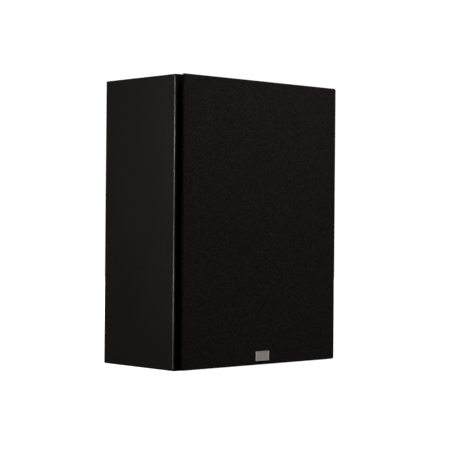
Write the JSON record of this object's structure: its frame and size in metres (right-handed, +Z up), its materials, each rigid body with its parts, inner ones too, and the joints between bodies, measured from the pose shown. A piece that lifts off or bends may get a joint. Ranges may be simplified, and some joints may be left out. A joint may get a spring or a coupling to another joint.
{
  "type": "bookshelf speaker",
  "caption": "Shallow sealed two-way bookshelf loudspeaker, black, with a pull-off cloth grille, cone woofer, dome tweeter, crossover and rear binding posts.",
  "frame": {"origin": "centre of the bounding box's base, on the surface it stands on", "axes": "+Z up the cabinet, -Y out of the front (grille) side, +X to the right when looking at the front, along +Y"},
  "size_m": [0.262, 0.1482, 0.35],
  "materials": {
    "satin_black_cabinet": "satin black lacquer over MDF",
    "black_baffle": "matt black paint over MDF",
    "bare_mdf": "raw MDF",
    "wadding": "white polyester wadding",
    "grille_cloth": "black open-weave speaker cloth",
    "grille_board": "matt black painted MDF",
    "black_plastic": "fine-textured black moulding",
    "black_rubber": "matt",
    "basket_steel": "black powder coat",
    "black_screw": "black phosphate",
    "zinc_steel": "zinc plated",
    "ferrite": "ground ferrite",
    "paper_cone": "black pulp",
    "former_paper": "aramid paper",
    "spider_cloth": "resin-dipped cotton",
    "copper_wire": "enamelled copper",
    "dome_silk": "doped silk",
    "phenolic": "phenolic paper board",
    "brass_gold": "polished, gold-coloured",
    "bobbin_plastic": "black nylon",
    "nylon_white": "natural nylon",
    "film_yellow": "yellow film wrap",
    "resistor_ceramic": "white cement",
    "red_wire": "red PVC",
    "black_wire": "black PVC",
    "foam_gasket": "closed-cell foam",
    "red_knob": "red",
    "black_knob": "black",
    "badge_metal": "satin plate with a raised rim, no lettering"
  },
  "bodies": {
    "cabinet": {"side_panel_left": "satin_black_cabinet", "side_panel_right": "satin_black_cabinet", "top_panel": "satin_black_cabinet", "bottom_panel": "satin_black_cabinet", "front_baffle": "black_baffle", "back_panel": "satin_black_cabinet", "cabinet_brace": "bare_mdf", "wadding_left": "wadding", "wadding_right": "wadding", "woofer_basket": "basket_steel", "woofer_trim_ring": "black_rubber", "woofer_top_plate": "zinc_steel", "woofer_magnet": "ferrite", "woofer_pole_plate": "zinc_steel", "woofer_terminal_strip": "phenolic", "woofer_tabs": "brass_gold", "woofer_screws": "black_screw", "woofer_surround": "black_rubber", "woofer_spider": "spider_cloth", "woofer_tinsel_leads": "copper_wire", "tweeter_faceplate": "black_plastic", "tweeter_spacer": "black_plastic", "tweeter_top_plate": "zinc_steel", "tweeter_magnet": "ferrite", "tweeter_pole_plate": "zinc_steel", "tweeter_rear_chamber": "black_plastic", "tweeter_terminal_block": "phenolic", "tweeter_tabs": "brass_gold", "tweeter_screws": "black_screw", "tweeter_surround": "dome_silk", "crossover_board": "phenolic", "crossover_standoffs": "nylon_white", "crossover_screws": "zinc_steel", "inductor_bobbins": "bobbin_plastic", "inductor_coils": "copper_wire", "film_capacitors": "film_yellow", "power_resistors": "resistor_ceramic", "red_leads": "red_wire", "black_leads": "black_wire", "terminal_cup": "black_plastic", "terminal_gasket": "foam_gasket", "terminal_screws": "black_screw", "post_cores": "brass_gold", "post_nuts": "zinc_steel", "solder_tags": "brass_gold", "peg_sockets": "black_rubber"},
    "woofer_diaphragm": {"woofer_cone": "paper_cone", "woofer_dust_cap": "paper_cone", "woofer_coil_former": "former_paper", "woofer_voice_coil": "copper_wire"},
    "tweeter_diaphragm": {"tweeter_dome": "dome_silk", "tweeter_voice_coil": "copper_wire"},
    "washer_positive": {"post_washer_positive": "brass_gold"},
    "knob_positive": {"post_knob_positive": "red_knob"},
    "washer_negative": {"post_washer_negative": "brass_gold"},
    "knob_negative": {"post_knob_negative": "black_knob"},
    "grille": {"grille_frame": "grille_board", "grille_pegs": "black_plastic", "grille_cloth": "grille_cloth", "grille_badge": "badge_metal"}
  },
  "joints": [
    {"name": "grille_pull", "type": "slide", "parent": "cabinet", "child": "grille", "axis": [0, -1, 0], "range_m": [0, 0.15]},
    {"name": "woofer_excursion", "type": "slide", "parent": "cabinet", "child": "woofer_diaphragm", "axis": [0, -1, 0], "range_m": [-0.005, 0.005], "stiffness_N_per_m": 900, "deforming": ["woofer_surround", "woofer_spider", "woofer_tinsel_leads"]},
    {"name": "tweeter_excursion", "type": "slide", "parent": "cabinet", "child": "tweeter_diaphragm", "axis": [0, -1, 0], "range_m": [-0.0003, 0.0003], "stiffness_N_per_m": 800, "deforming": ["tweeter_surround"]},
    {"name": "washer_positive_travel", "type": "slide", "parent": "cabinet", "child": "washer_positive", "axis": [0, 1, 0], "range_m": [0, 0.006]},
    {"name": "knob_positive_turn", "type": "hinge", "parent": "washer_positive", "child": "knob_positive", "pos_m": [0.0095, 0.0601, 0.095], "axis": [0, 1, 0], "range_deg": [0, 2160]},
    {"name": "washer_negative_travel", "type": "slide", "parent": "cabinet", "child": "washer_negative", "axis": [0, 1, 0], "range_m": [0, 0.006]},
    {"name": "knob_negative_turn", "type": "hinge", "parent": "washer_negative", "child": "knob_negative", "pos_m": [-0.0095, 0.0601, 0.095], "axis": [0, 1, 0], "range_deg": [0, 2160]}
  ],
  "couplings": [
    {"joint": "washer_positive_travel", "follows": "knob_positive_turn", "m_per_rad": 0.00015914},
    {"joint": "washer_negative_travel", "follows": "knob_negative_turn", "m_per_rad": 0.00015914}
  ]
}
